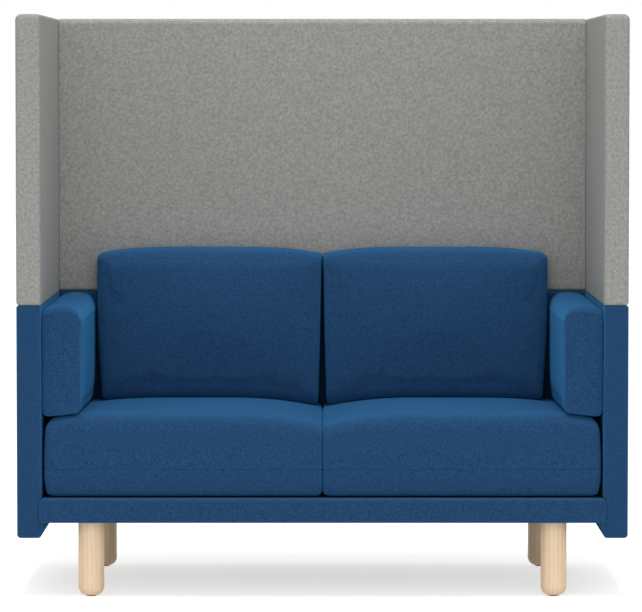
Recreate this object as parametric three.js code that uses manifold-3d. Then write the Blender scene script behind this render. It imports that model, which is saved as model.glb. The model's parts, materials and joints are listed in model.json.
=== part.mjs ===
// Two-seat lounge sofa with high acoustic screens.
// Millimetres, +Z up. The sofa faces -Y. The origin is on the floor, at the middle of its outline.
// Left is the left of someone who stands in front of the sofa.
import * as THREE from "three";
import { mergeVertices } from "three/addons/utils/BufferGeometryUtils.js";
import Module from "manifold-3d";

const wasm = await Module();
wasm.setup();

// Outside of the sofa
const overallWidth = 1498;
const overallHeight = 1430;
const panelDepth = 790;
const panelThickness = 60;
const panelUnderside = 147;
const seamHeight = 718.5;

// Clearances
const fitGap = 0.3;
const cutOverrun = 20;

// Padded panels on plywood cores
const coreThickness = 18;
const edgePadding = 12;
const coreRecess = 2;
const sideTopEdge = 6;
const sideFootEdge = 9;
const screenTopEdge = 14;
const screenFootEdge = 8;

// Steel plates that join each screen to the panel below it
const plateThickness = 4;
const plateReach = 70;
const sidePlateWidth = 300;
const backPlateWidth = 500;
const plateCorner = 8;
const plateHoleRadius = 3;
const plateHoleInset = 22;

// Beech dowels between the back panels and the sides
const dowelRadius = 5;
const dowelSideReach = 14;
const dowelBackReach = 30;

// Padded front rail
const railUnderside = 185.2;
const railTop = 249;
const railProud = 6;
const railLap = 6;
const railEdge = 5;
const railFrontPadding = 14;
const railTopPadding = 8;
const railFootPadding = 3;
const railReturn = 20;

// Seat frame
const frontBeamThickness = 30;
const rearBeamThickness = 20;
const sideBeamThickness = 30;
const centreBeamThickness = 30;
const bearerWidth = 90;
const bearerThickness = 22;

// Bolts from the seat frame into the side cores
const frameBoltRadius = 4;
const frameBoltHeadRadius = 7.5;
const frameBoltHead = 5.5;
const frameBoltReach = 14;
const frameBoltInset = 120;

// Webbing, deck and dust cover
const strapCount = 6;
const crossStrapCount = 2;
const strapWidth = 80;
const strapThickness = 1.6;
const strapEndGap = 3;
const dustCoverThickness = 1;

// Turned legs
const legRadius = 31.75;
const legFillet = 22;
const legTopChamfer = 1.5;
const legSideInset = 119.3;
const legBeamGap = 3;

// Leg bolts and glides
const legBoltRadius = 5;
const legBoltReach = 40;
const legBoltHeadRadius = 9;
const legBoltHead = 6.5;
const washerRadius = 12;
const washerThickness = 2;
const glideRadius = 12;
const glideThickness = 1.5;
const glidePinRadius = 1.6;
const glidePinLength = 16;

// Seat cushions
const seatTop = 453;
const seatSideGap = 5.5;
const seatFrontSetback = 6;
const cushionSplit = 3;
const seatTopEdge = 22;
const seatFootEdge = 6;
const seatCrown = 7;
const seatOuterDrop = 10;
const seatSeamRise = 66;
const seatFootDraw = 10;
const seatTopDraw = 5;
const seatCentreDip = 25;
const seatCentreDipWidth = 220;

// Back cushions
const backCushionHeight = 366;
const backCushionFootDepth = 172;
const backCushionTopDepth = 130;
const backCushionArmGap = 7.6;
const backCushionEdge = 14;
const backCushionCrown = 18;
const backCushionBelly = 12;
const backCushionOuterDraw = 14;
const backCushionSplitDraw = 8;

// Arm cushions
const armWidth = 95.5;
const armHeight = 254;
const armSideGap = 1.5;
const armFrontSetback = 18;
const armBackGap = 6;
const armTopEdge = 14;
const armFootEdge = 8;
const armCrown = 11;
const armBelly = 3;
const armRearDraw = 5;

// Steps of curves
const edgeSteps = 2;
const filletSteps = 5;
const cornerSteps = 3;
const legSides = 24;
const boltSides = 12;
const hexSides = 6;

// Levels and faces that several pieces share
const innerFace = overallWidth / 2 - panelThickness;
const backFace = panelDepth - panelThickness;
const beamFoot = railUnderside + railFootPadding + fitGap;
const beamTop = railTop - railTopPadding - fitGap;
const beamFront = railFrontPadding - railProud + fitGap;
const frontBeamRear = beamFront + frontBeamThickness;
const rearBeamFront = backFace - fitGap - rearBeamThickness;
const bearerTop = beamFoot + bearerThickness;
const dustCoverFoot = beamFoot - fitGap - dustCoverThickness;
const legX = innerFace - legSideInset;
const legStations = {
  front: frontBeamRear + legBeamGap + washerRadius,
  rear: rearBeamFront - legBeamGap - washerRadius,
};
const cushionFoot = railTop + fitGap;
const seatSeamHeight = cushionFoot + seatSeamRise;
const upperCushionFoot = seatTop + fitGap;
const armInnerFace = innerFace - armSideGap - armWidth;
const sides = { left: -1, right: 1 };

// Finishes
const finish = (color, roughness, metalness = 0) =>
  new THREE.MeshStandardMaterial({ color, roughness, metalness });
const finishes = {
  blueWool: finish(0x2a4f86, 0.95),
  greyFelt: finish(0x9a9a98, 0.97),
  ash: finish(0xdcc19c, 0.55),
  plywood: finish(0xc9a877, 0.7),
  softwood: finish(0xd8b98a, 0.75),
  beech: finish(0xc69a6b, 0.6),
  steel: finish(0x9b9ea2, 0.35, 1),
  webbing: finish(0x2e2c2a, 0.9),
  deckFelt: finish(0x1d1e21, 0.95),
  dustCloth: finish(0x77736b, 0.95),
  glidePlastic: finish(0x3a3836, 0.6),
};

const vector = (x, y, z) => new THREE.Vector3(x, y, z);

// A closed geometry as a solid that can be cut and joined.
function solidOf(geometry) {
  const bare = geometry.index ? geometry.toNonIndexed() : geometry.clone();
  bare.deleteAttribute("normal");
  bare.deleteAttribute("uv");
  const merged = mergeVertices(bare, fitGap / 1000);
  return new wasm.Manifold(
    new wasm.Mesh({
      numProp: 3,
      vertProperties: new Float32Array(merged.getAttribute("position").array),
      triVerts: new Uint32Array(merged.index.array),
    }),
  );
}

function geometryOf(solid) {
  const mesh = solid.getMesh();
  const geometry = new THREE.BufferGeometry();
  geometry.setAttribute("position", new THREE.BufferAttribute(mesh.vertProperties, 3));
  geometry.setIndex(new THREE.BufferAttribute(mesh.triVerts, 1));
  const faceted = geometry.toNonIndexed();
  faceted.computeVertexNormals();
  return faceted;
}

function cut(geometry, ...tools) {
  let solid = solidOf(geometry);
  for (const tool of tools) solid = solid.subtract(solidOf(tool));
  return geometryOf(solid);
}

function join(...geometries) {
  return geometryOf(geometries.map(solidOf).reduce((whole, piece) => whole.add(piece)));
}

// A box between two opposite corners.
function block(low, high) {
  const size = high.clone().sub(low);
  const centre = low.clone().add(high).divideScalar(2);
  return new THREE.BoxGeometry(size.x, size.y, size.z).translate(centre.x, centre.y, centre.z);
}

// A round bar along an axis, from one point on it to another.
function bar(axis, from, to, radius, segments = boltSides) {
  const middle = from.clone().add(to).divideScalar(2);
  const geometry = new THREE.CylinderGeometry(radius, radius, from.distanceTo(to), segments);
  if (axis === "x") geometry.rotateZ(Math.PI / 2);
  if (axis === "z") geometry.rotateX(Math.PI / 2);
  return geometry.translate(middle.x, middle.y, middle.z);
}

// Places along one axis, with each stretch up to the next place divided evenly.
function stations(start, ...stretches) {
  const places = [start];
  for (const [end, steps] of stretches) {
    const from = places[places.length - 1];
    for (let step = 1; step <= steps; step++) places.push(from + ((end - from) * step) / steps);
  }
  return places;
}

// A box whose faces are divided at the given places along each axis.
function stationBox(...axes) {
  const counts = axes.map((places) => places.length - 1);
  const geometry = new THREE.BoxGeometry(1, 1, 1, ...counts);
  const points = geometry.getAttribute("position");
  for (let i = 0; i < points.count; i++) {
    axes.forEach((places, axis) => {
      const place = Math.round((points.getComponent(i, axis) + 1 / 2) * counts[axis]);
      points.setComponent(i, axis, places[place]);
    });
  }
  return geometry;
}

// Moves each point of a geometry by a function that changes it.
function reshape(geometry, change) {
  const points = geometry.getAttribute("position");
  const point = new THREE.Vector3();
  for (let i = 0; i < points.count; i++) {
    change(point.fromBufferAttribute(points, i));
    points.setXYZ(i, point.x, point.y, point.z);
  }
  return geometry;
}

// A block with rounded edges, softer at the top or at the foot. The inner stretches divide the
// faces between the edges, so that a form can be pressed into them afterwards.
function softBlock(low, high, topEdge, footEdge, inner = {}) {
  const widest = Math.max(topEdge, footEdge);
  const axes = ["x", "y", "z"].map((axis) => {
    const foot = axis === "z" ? footEdge : widest;
    const top = axis === "z" ? topEdge : widest;
    const { breaks = [], steps = 1 } = inner[axis] ?? {};
    return stations(
      low[axis],
      [low[axis] + foot, edgeSteps],
      ...breaks,
      [high[axis] - top, steps],
      [high[axis], edgeSteps],
    );
  });
  return reshape(stationBox(...axes), (point) => {
    const height = (point.z - low.z) / (high.z - low.z);
    const edge = height > 1 / 2 ? topEdge : footEdge;
    const core = point.clone().clamp(low.clone().addScalar(edge), high.clone().subScalar(edge));
    const way = point.clone().sub(core).normalize();
    point.copy(core).addScaledVector(way, edge);
  });
}

// The mirror image across the sofa's middle. Each triangle's corners are taken in reverse, so
// that the faces still point out.
function mirrored(geometry) {
  const copy = geometry.clone().scale(-1, 1, 1);
  copy.setIndex([...copy.index.array].reverse());
  return copy;
}

const sofa = new THREE.Group();
sofa.position.y = -(panelDepth - railProud) / 2;

function place(parent, name, geometry, material) {
  const mesh = new THREE.Mesh(geometry, material);
  mesh.name = name;
  parent.add(mesh);
  return mesh;
}

// How far a value has come from one place to another, from 0 to 1.
function progress(value, from, to) {
  return THREE.MathUtils.clamp((value - from) / (to - from), 0, 1);
}

// A smooth hill between two places: 1 in the middle, level and 0 at both ends.
function hill(value, from, to) {
  return Math.sin(Math.PI * progress(value, from, to)) ** 2;
}

// An even arch between two places: 1 in the middle, 0 at both ends.
function arch(value, from, to) {
  const share = progress(value, from, to);
  return 4 * share * (1 - share);
}

// A flat crest between two places: about 1 over most of the way, falling off to 0 at both ends.
function crest(value, from, to) {
  return 1 - (2 * progress(value, from, to) - 1) ** 4;
}

// A rise from 0 to 1 between two places, slow at first.
function rise(value, from, to) {
  return progress(value, from, to) ** 2;
}

// The space of a panel's core inside its padding, which is open at the foot.
function coreBox(low, high, thin) {
  const padding = (panelThickness - coreThickness) / 2;
  const long = thin === "x" ? "y" : "x";
  const from = low.clone();
  const to = high.clone();
  from[thin] += padding;
  to[thin] -= padding;
  from[long] += edgePadding;
  to[long] -= edgePadding;
  from.z += coreRecess;
  to.z -= edgePadding;
  return { from, to };
}

// One padded panel: a cover that is open at the foot, and the plywood core in it.
function addPanel(name, { low, high, thin, topEdge, footEdge, material, coverCuts, coreCuts }) {
  const { from, to } = coreBox(low, high, thin);
  const pocket = block(
    from.clone().subScalar(fitGap).setZ(low.z - cutOverrun),
    to.clone().addScalar(fitGap),
  );
  const cover = softBlock(low, high, topEdge, footEdge);
  place(sofa, `${name}_cover`, cut(cover, pocket, ...coverCuts), material);
  place(sofa, `${name}_core`, cut(block(from, to), ...coreCuts), finishes.plywood);
}

// The slot for a steel plate, half in the lower core and half in the core of the screen.
function plateCut(thin, centre, width) {
  const long = thin === "x" ? "y" : "x";
  const reach = new THREE.Vector3();
  reach[thin] = plateThickness / 2 + fitGap;
  reach[long] = width / 2 + fitGap;
  reach.z = plateReach + fitGap;
  return block(centre.clone().sub(reach), centre.clone().add(reach));
}

function roundedRectangle(width, height, corner) {
  const [x, y] = [width / 2, height / 2];
  const shape = new THREE.Shape();
  shape.absarc(x - corner, y - corner, corner, 0, Math.PI / 2);
  shape.absarc(corner - x, y - corner, corner, Math.PI / 2, Math.PI);
  shape.absarc(corner - x, corner - y, corner, Math.PI, (Math.PI * 3) / 2);
  shape.absarc(x - corner, corner - y, corner, (Math.PI * 3) / 2, Math.PI * 2);
  return shape;
}

function joinPlate(thin, centre, width) {
  const shape = roundedRectangle(width, plateReach * 2, plateCorner);
  for (const [x, y] of [[-1, -1], [1, -1], [1, 1], [-1, 1]]) {
    const hole = new THREE.Path();
    const across = x * (width / 2 - plateHoleInset);
    hole.absarc(across, y * (plateReach - plateHoleInset), plateHoleRadius, 0, Math.PI * 2);
    shape.holes.push(hole);
  }
  const geometry = new THREE.ExtrudeGeometry(shape, {
    depth: plateThickness,
    bevelEnabled: false,
    curveSegments: cornerSteps,
  });
  geometry.translate(0, 0, -plateThickness / 2).rotateX(Math.PI / 2);
  if (thin === "x") geometry.rotateZ(Math.PI / 2);
  return geometry.translate(centre.x, centre.y, seamHeight);
}

// Where the two pieces of a mirrored pair lie across the sofa.
function across(side, inner, outer) {
  return side > 0 ? [inner, outer] : [-outer, -inner];
}

const seatFrameMiddle = (beamFoot + beamTop) / 2;
const frameBoltStations = {
  front: frontBeamRear + frameBoltInset,
  rear: rearBeamFront - frameBoltInset,
};
const panelPadding = (panelThickness - coreThickness) / 2;
const dowelHeights = {
  lower: (panelUnderside + seamHeight) / 2,
  upper: (seamHeight + overallHeight) / 2,
};
const backPanelMiddle = backFace + panelThickness / 2;

// The straight bore of a frame bolt or a dowel, grown by a clearance.
function frameBoltBore(side, y, radius, gap) {
  const from = side * (innerFace - fitGap - sideBeamThickness - cutOverrun);
  const to = side * (innerFace + panelPadding + frameBoltReach + gap);
  return bar("x", vector(from, y, seatFrameMiddle), vector(to, y, seatFrameMiddle), radius + gap);
}

function dowel(side, z, gap) {
  const from = side * (innerFace - fitGap - edgePadding - dowelBackReach - gap);
  const to = side * (innerFace + panelPadding + dowelSideReach + gap);
  const [start, end] = [from, to].map((x) => vector(x, backPanelMiddle, z));
  return bar("x", start, end, dowelRadius + gap);
}

// Side panels and their screens
for (const [name, side] of Object.entries(sides)) {
  const [xLow, xHigh] = across(side, innerFace, overallWidth / 2);
  const plateCentre = vector((xLow + xHigh) / 2, panelDepth / 2, seamHeight);
  const plateSlot = plateCut("x", plateCentre, sidePlateWidth);
  const boltBores = Object.values(frameBoltStations).map((y) =>
    frameBoltBore(side, y, frameBoltRadius, fitGap),
  );
  const lowerBores = [plateSlot, ...boltBores, dowel(side, dowelHeights.lower, fitGap)];
  addPanel(`${name}_side`, {
    low: vector(xLow, 0, panelUnderside),
    high: vector(xHigh, panelDepth, seamHeight),
    thin: "x",
    topEdge: sideTopEdge,
    footEdge: sideFootEdge,
    material: finishes.blueWool,
    coverCuts: lowerBores,
    coreCuts: lowerBores,
  });
  const upperBores = [plateSlot, dowel(side, dowelHeights.upper, fitGap)];
  addPanel(`${name}_screen`, {
    low: vector(xLow, 0, seamHeight + fitGap),
    high: vector(xHigh, panelDepth, overallHeight),
    thin: "x",
    topEdge: screenTopEdge,
    footEdge: screenFootEdge,
    material: finishes.greyFelt,
    coverCuts: upperBores,
    coreCuts: upperBores,
  });
  place(sofa, `${name}_join_plate`, joinPlate("x", plateCentre, sidePlateWidth), finishes.steel);
  for (const [level, z] of Object.entries(dowelHeights)) {
    place(sofa, `${name}_${level}_dowel`, dowel(side, z, 0), finishes.beech);
  }
}

// Back panel and its screen, between the sides
const backPlateCentre = vector(0, backPanelMiddle, seamHeight);
const backPlateSlot = plateCut("y", backPlateCentre, backPlateWidth);
const backBores = (level) => [
  backPlateSlot,
  ...Object.values(sides).map((side) => dowel(side, dowelHeights[level], fitGap)),
];
addPanel("lower_back", {
  low: vector(fitGap - innerFace, backFace, panelUnderside),
  high: vector(innerFace - fitGap, panelDepth, seamHeight),
  thin: "y",
  topEdge: sideTopEdge,
  footEdge: sideFootEdge,
  material: finishes.blueWool,
  coverCuts: backBores("lower"),
  coreCuts: backBores("lower"),
});
addPanel("back_screen", {
  low: vector(fitGap - innerFace, backFace, seamHeight + fitGap),
  high: vector(innerFace - fitGap, panelDepth, overallHeight),
  thin: "y",
  topEdge: screenTopEdge,
  footEdge: screenFootEdge,
  material: finishes.greyFelt,
  coverCuts: backBores("upper"),
  coreCuts: backBores("upper"),
});
place(sofa, "back_join_plate", joinPlate("y", backPlateCentre, backPlateWidth), finishes.steel);

// Front rail: a padded cover, open at the back, whose lip laps the side panels
function frontRailCover() {
  const halfLength = innerFace + railLap;
  const padding = softBlock(
    vector(-halfLength, -railProud, railUnderside),
    vector(halfLength, railReturn, railTop),
    railEdge,
    railEdge,
    { y: { breaks: [[-fitGap, 1], [0, 1]] } },
  );
  const betweenPanels = reshape(padding, (point) => {
    const limit = point.y < 0 ? halfLength : innerFace - fitGap;
    point.x = THREE.MathUtils.clamp(point.x, -limit, limit);
  });
  const pocket = block(
    vector(-innerFace - cutOverrun, beamFront - fitGap, beamFoot - fitGap),
    vector(innerFace + cutOverrun, railReturn + cutOverrun, beamTop + fitGap),
  );
  return cut(betweenPanels, pocket);
}
place(sofa, "front_rail_cover", frontRailCover(), finishes.blueWool);

// Seat frame: four beams and a middle one, notched over two bearers that carry the legs
function bearerNotch(side, yLow, yHigh) {
  const halfWidth = bearerWidth / 2 + fitGap;
  return block(
    vector(side * legX - halfWidth, yLow - cutOverrun, beamFoot - cutOverrun),
    vector(side * legX + halfWidth, yHigh + cutOverrun, bearerTop + fitGap),
  );
}

function crossBeam(yLow, yHigh) {
  const halfLength = innerFace - fitGap;
  const beam = block(vector(-halfLength, yLow, beamFoot), vector(halfLength, yHigh, beamTop));
  return cut(beam, ...Object.values(sides).map((side) => bearerNotch(side, yLow, yHigh)));
}
place(sofa, "front_beam", crossBeam(beamFront, frontBeamRear), finishes.softwood);
const rearBeam = crossBeam(rearBeamFront, backFace - fitGap);
place(sofa, "rear_beam", rearBeam, finishes.softwood);

const beamRun = [frontBeamRear + fitGap, rearBeamFront - fitGap];
const centreBeam = block(
  vector(-centreBeamThickness / 2, beamRun[0], beamFoot),
  vector(centreBeamThickness / 2, beamRun[1], beamTop),
);
place(sofa, "centre_beam", centreBeam, finishes.softwood);

// A bolt through a side beam into the core behind it: a hexagon head on a round shank.
function frameBolt(side, y) {
  const seat = side * (innerFace - fitGap - sideBeamThickness - fitGap);
  const tip = side * (innerFace + panelPadding + frameBoltReach);
  const headEnd = seat - side * frameBoltHead;
  const shankStart = (seat + headEnd) / 2;
  const at = (x) => vector(x, y, seatFrameMiddle);
  return join(
    bar("x", at(shankStart), at(tip), frameBoltRadius),
    bar("x", at(headEnd), at(seat), frameBoltHeadRadius, hexSides),
  );
}

for (const [name, side] of Object.entries(sides)) {
  const [xLow, xHigh] = across(side, innerFace - fitGap - sideBeamThickness, innerFace - fitGap);
  const beam = block(vector(xLow, beamRun[0], beamFoot), vector(xHigh, beamRun[1], beamTop));
  const bores = Object.values(frameBoltStations).map((y) =>
    frameBoltBore(side, y, frameBoltRadius, fitGap),
  );
  place(sofa, `${name}_beam`, cut(beam, ...bores), finishes.softwood);
  for (const [end, y] of Object.entries(frameBoltStations)) {
    place(sofa, `${name}_${end}_frame_bolt`, frameBolt(side, y), finishes.steel);
  }

  const bearer = block(
    vector(side * legX - bearerWidth / 2, beamFront, beamFoot),
    vector(side * legX + bearerWidth / 2, backFace - fitGap, bearerTop),
  );
  const boltHoles = Object.values(legStations).map((y) =>
    bar(
      "z",
      vector(side * legX, y, beamFoot - cutOverrun),
      vector(side * legX, y, bearerTop + cutOverrun),
      legBoltRadius + fitGap,
    ),
  );
  place(sofa, `${name}_leg_bearer`, cut(bearer, ...boltHoles), finishes.plywood);
}

// Webbing: straps from front to back, woven with straps across
const strapFoot = beamTop + fitGap;
const weaveRise = (strapThickness + fitGap) / 2;
const weaveMiddle = strapFoot + strapThickness / 2 + weaveRise;
const weaveTop = weaveMiddle + weaveRise + strapThickness / 2;
const clearWidth = (innerFace - fitGap - sideBeamThickness) * 2;
const clearDepth = rearBeamFront - frontBeamRear;
const strapPlaces = Array.from(
  { length: strapCount },
  (_, i) => ((i + 1 / 2) / strapCount - 1 / 2) * clearWidth,
);
const crossStrapPlaces = Array.from(
  { length: crossStrapCount },
  (_, j) => frontBeamRear + ((j + 1) / (crossStrapCount + 1)) * clearDepth,
);

// A flat strap along one axis, level at each crossing and sloping between them.
function strap(start, end, crossings) {
  const level = strapWidth / 2 + fitGap;
  const low = weaveMiddle - weaveRise;
  const line = [[start, low]];
  for (const { at, over } of crossings) {
    const z = over ? weaveMiddle + weaveRise : low;
    line.push([at - level, z], [at + level, z]);
  }
  line.push([end, low]);
  const top = line.map(([along, z]) => new THREE.Vector2(along, z + strapThickness / 2));
  const foot = line.map(([along, z]) => new THREE.Vector2(along, z - strapThickness / 2));
  const section = new THREE.Shape([...foot, ...top.reverse()]);
  const geometry = new THREE.ExtrudeGeometry(section, { depth: strapWidth, bevelEnabled: false });
  return geometry.translate(0, 0, -strapWidth / 2).rotateX(Math.PI / 2);
}

strapPlaces.forEach((x, i) => {
  const crossings = crossStrapPlaces.map((at, j) => ({ at, over: (i + j) % 2 === 0 }));
  const start = railReturn + strapEndGap;
  const end = backFace - strapEndGap;
  const geometry = strap(start, end, crossings).rotateZ(Math.PI / 2).translate(x, 0, 0);
  place(sofa, `webbing_strap_${i + 1}`, geometry, finishes.webbing);
});
crossStrapPlaces.forEach((y, j) => {
  const crossings = strapPlaces.map((at, i) => ({ at, over: (i + j) % 2 === 1 }));
  const end = innerFace - strapEndGap;
  const geometry = strap(-end, end, crossings).translate(0, y, 0);
  place(sofa, `cross_strap_${j + 1}`, geometry, finishes.webbing);
});

const deck = block(
  vector(fitGap - innerFace, railReturn + fitGap, weaveTop + fitGap),
  vector(innerFace - fitGap, backFace - fitGap, railTop),
);
place(sofa, "seat_deck", deck, finishes.deckFelt);

const dustCloth = block(
  vector(fitGap - innerFace, railReturn + fitGap, dustCoverFoot),
  vector(innerFace - fitGap, backFace - fitGap, dustCoverFoot + dustCoverThickness),
);

// Legs, with the bolt that holds each one and the glide under it
function turned(profile, segments = legSides) {
  const points = profile.map(([radius, z]) => new THREE.Vector2(radius, z));
  return new THREE.LatheGeometry(points, segments).rotateX(Math.PI / 2);
}

const legFoot = glideThickness + fitGap;
const legTop = dustCoverFoot - fitGap;

function leg() {
  const flat = legRadius - legFillet;
  const fillet = Array.from({ length: filletSteps + 1 }, (_, i) => {
    const angle = ((i / filletSteps) * Math.PI) / 2;
    const out = flat + Math.sin(angle) * legFillet;
    return [out, legFoot + legFillet * (1 - Math.cos(angle))];
  });
  const pinTop = legFoot + glidePinLength + fitGap;
  const boltEnd = legTop - legBoltReach - fitGap;
  return turned([
    [0, pinTop],
    [glidePinRadius + fitGap, pinTop],
    [glidePinRadius + fitGap, legFoot],
    ...fillet,
    [legRadius, legTop - legTopChamfer],
    [legRadius - legTopChamfer, legTop],
    [legBoltRadius + fitGap, legTop],
    [legBoltRadius + fitGap, boltEnd],
    [0, boltEnd],
  ]);
}

function glide() {
  return turned(
    [
      [0, 0],
      [glideRadius, 0],
      [glideRadius, glideThickness / 2],
      [legRadius - legFillet, glideThickness],
      [glidePinRadius, glideThickness],
      [glidePinRadius, glideThickness + glidePinLength],
      [0, glideThickness + glidePinLength],
    ],
    boltSides,
  );
}

function legBolt() {
  const washerFoot = bearerTop + fitGap;
  const washerTop = washerFoot + washerThickness;
  const shank = turned(
    [
      [0, legTop - legBoltReach],
      [legBoltRadius, legTop - legBoltReach],
      [legBoltRadius, washerFoot],
      [washerRadius, washerFoot],
      [washerRadius, washerTop],
      [0, washerTop],
    ],
    boltSides,
  );
  const headFoot = vector(0, 0, (washerFoot + washerTop) / 2);
  const head = bar("z", headFoot, vector(0, 0, washerTop + legBoltHead), legBoltHeadRadius, hexSides);
  return join(shank, head);
}

const dustCoverHoles = [];
for (const [name, side] of Object.entries(sides)) {
  for (const [end, y] of Object.entries(legStations)) {
    const group = new THREE.Group();
    group.position.set(side * legX, y, 0);
    sofa.add(group);
    place(group, `${name}_${end}_leg`, leg(), finishes.ash);
    place(group, `${name}_${end}_leg_bolt`, legBolt(), finishes.steel);
    place(group, `${name}_${end}_leg_glide`, glide(), finishes.glidePlastic);
    dustCoverHoles.push(
      bar(
        "z",
        vector(side * legX, y, dustCoverFoot - cutOverrun),
        vector(side * legX, y, beamFoot + cutOverrun),
        legBoltRadius + fitGap,
      ),
    );
  }
}
place(sofa, "dust_cover", cut(dustCloth, ...dustCoverHoles), finishes.dustCloth);

// How far the seat falls away under the arm cushion, towards the side panel
const seatOuterSide = innerFace - seatSideGap;
function outerDrop(x) {
  return (seatOuterDrop * Math.max(x - armInnerFace, 0)) / (seatOuterSide - armInnerFace);
}

// How far the seat sinks towards the split in its middle
const splitFace = cushionSplit / 2;
const centreDipEnd = splitFace + seatCentreDipWidth;
function centreDip(x) {
  return seatCentreDip * rise(x, centreDipEnd, splitFace);
}

// Seat cushion: crowned where people sit, level under the back cushion, lower at the split
const backCushionFootFront = backFace - fitGap - backCushionFootDepth;

function seatCushion() {
  const low = vector(splitFace, seatFrontSetback, cushionFoot);
  const high = vector(seatOuterSide, backFace - fitGap, seatTop);
  const cushion = softBlock(low, high, seatTopEdge, seatFootEdge, {
    x: { breaks: [[centreDipEnd, 4], [armInnerFace, 6]], steps: 1 },
    y: { breaks: [[backCushionFootFront, 7]], steps: 2 },
    z: { breaks: [[seatSeamHeight, 2]], steps: 3 },
  });
  return reshape(cushion, (point) => {
    const upper = rise(point.z, low.z, high.z);
    const { x, y } = point;
    const crown =
      seatCrown * hill(x, low.x, armInnerFace) * hill(y, low.y, backCushionFootFront);
    const draw =
      seatFootDraw * rise(point.z, seatSeamHeight, low.z) +
      seatTopDraw * rise(point.z, seatSeamHeight, high.z);
    point.x -= draw * rise(x, armInnerFace, high.x);
    point.y += draw * rise(y, backCushionFootFront / 2, low.y);
    point.z += (crown - centreDip(x) - outerDrop(point.x)) * upper;
  });
}

// Back cushion: upright at the back, leaning back in front, crowned, and drawn in at the foot,
// which sinks with the seat towards the split
function backCushion() {
  const low = vector(splitFace, backCushionFootFront, upperCushionFoot);
  const high = vector(
    armInnerFace - backCushionArmGap,
    backFace - fitGap,
    upperCushionFoot + backCushionHeight,
  );
  const cushion = softBlock(low, high, backCushionEdge, backCushionEdge, {
    x: { breaks: [[centreDipEnd, 6]], steps: 5 },
    y: { steps: 2 },
    z: { steps: 5 },
  });
  return reshape(cushion, (point) => {
    const { x, y, z } = point;
    const lean = progress(z, low.z, high.z);
    const depth = THREE.MathUtils.lerp(backCushionFootDepth, backCushionTopDepth, lean);
    const forward = (high.y - y) / backCushionFootDepth;
    const belly = backCushionBelly * arch(x, low.x, high.x) * arch(z, low.z, high.z);
    const outward = progress(x, low.x, high.x);
    const draw = THREE.MathUtils.lerp(-backCushionSplitDraw, backCushionOuterDraw, outward);
    const lower = rise(z, high.z, low.z);
    point.x -= draw * lower;
    point.y = high.y - forward * (depth + belly);
    const crown = backCushionCrown * crest(x, low.x, high.x) * arch(y, low.y, high.y);
    point.z += crown * rise(z, low.z, high.z) - centreDip(point.x) * lower;
  });
}

// Arm cushion: a tall block with a crowned top and a full inner face, narrower at its rear foot
function armCushion() {
  const low = vector(armInnerFace, armFrontSetback, upperCushionFoot);
  const high = vector(armInnerFace + armWidth, backFace - armBackGap, upperCushionFoot + armHeight);
  const cushion = softBlock(low, high, armTopEdge, armFootEdge, {
    x: { steps: 3 },
    y: { steps: 6 },
    z: { steps: 4 },
  });
  return reshape(cushion, (point) => {
    const { x, y, z } = point;
    const inward = (high.x - x) / armWidth;
    const fullness = armBelly * arch(y, low.y, high.y) * arch(z, low.z, high.z);
    const draw = armRearDraw * progress(y, low.y, high.y) * rise(z, high.z, low.z);
    point.x += inward * (draw + armBelly - fullness);
    const upper = rise(z, low.z, high.z);
    point.z += armCrown * arch(x, low.x, high.x) * upper - outerDrop(point.x) * (1 - upper);
  });
}

const cushions = { seat: seatCushion(), back: backCushion(), arm: armCushion() };
for (const [name, side] of Object.entries(sides)) {
  for (const [kind, geometry] of Object.entries(cushions)) {
    const shape = side > 0 ? geometry.clone() : mirrored(geometry);
    shape.computeVertexNormals();
    place(sofa, `${name}_${kind}_cushion`, shape, finishes.blueWool);
  }
}

export default sofa;
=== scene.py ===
# Two-seat lounge sofa with high acoustic screens: its upholstery, wood, light and camera.
# Metres, +Z up. The sofa faces -Y, and left is the left of someone who stands in front of it.
import json
import math

import bmesh
import bpy
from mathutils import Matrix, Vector


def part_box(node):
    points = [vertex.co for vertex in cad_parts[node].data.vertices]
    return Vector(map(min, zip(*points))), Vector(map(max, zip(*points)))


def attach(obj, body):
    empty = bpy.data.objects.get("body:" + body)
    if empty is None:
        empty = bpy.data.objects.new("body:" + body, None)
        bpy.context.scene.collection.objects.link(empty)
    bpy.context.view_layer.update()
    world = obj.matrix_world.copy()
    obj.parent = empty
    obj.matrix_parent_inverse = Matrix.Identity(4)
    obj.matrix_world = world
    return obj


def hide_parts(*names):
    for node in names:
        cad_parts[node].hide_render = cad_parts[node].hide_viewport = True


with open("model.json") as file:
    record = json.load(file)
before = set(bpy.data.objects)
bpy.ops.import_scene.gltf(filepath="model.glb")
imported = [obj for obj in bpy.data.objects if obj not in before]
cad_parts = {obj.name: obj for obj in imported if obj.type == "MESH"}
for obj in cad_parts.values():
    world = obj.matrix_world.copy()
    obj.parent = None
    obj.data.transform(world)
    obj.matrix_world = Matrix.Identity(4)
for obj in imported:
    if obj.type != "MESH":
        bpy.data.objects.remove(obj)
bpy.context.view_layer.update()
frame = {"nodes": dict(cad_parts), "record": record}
nodes = frame["nodes"]

mm = 0.001
fit_gap = 0.3 * mm
cut_overrun = 20 * mm
bore_sides = 32
smooth_angle = math.radians(40)
flat_face_weight = 90

# Two places nearer than this are the same, and a direction runs along an axis from this share on.
same_place = 1 * mm
mostly = 0.5

# Edges of the padded panels. The back panels butt against the sides with nearly square ends.
side_edges = {
    "top": 6 * mm,
    "inner_top": 2.5 * mm,
    "foot": 9 * mm,
    "upright": 7 * mm,
    "inner_upright": 10 * mm,
}
screen_edges = {
    "top": 14 * mm,
    "inner_top": 7 * mm,
    "foot": 8 * mm,
    "upright": 8 * mm,
    "inner_upright": 8 * mm,
}
back_end_upright = 1.8 * mm
back_end_top = 4 * mm
back_end_seam = 1 * mm
inner_seam_edge = 2.5 * mm
panel_edge_segments = 6

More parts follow.
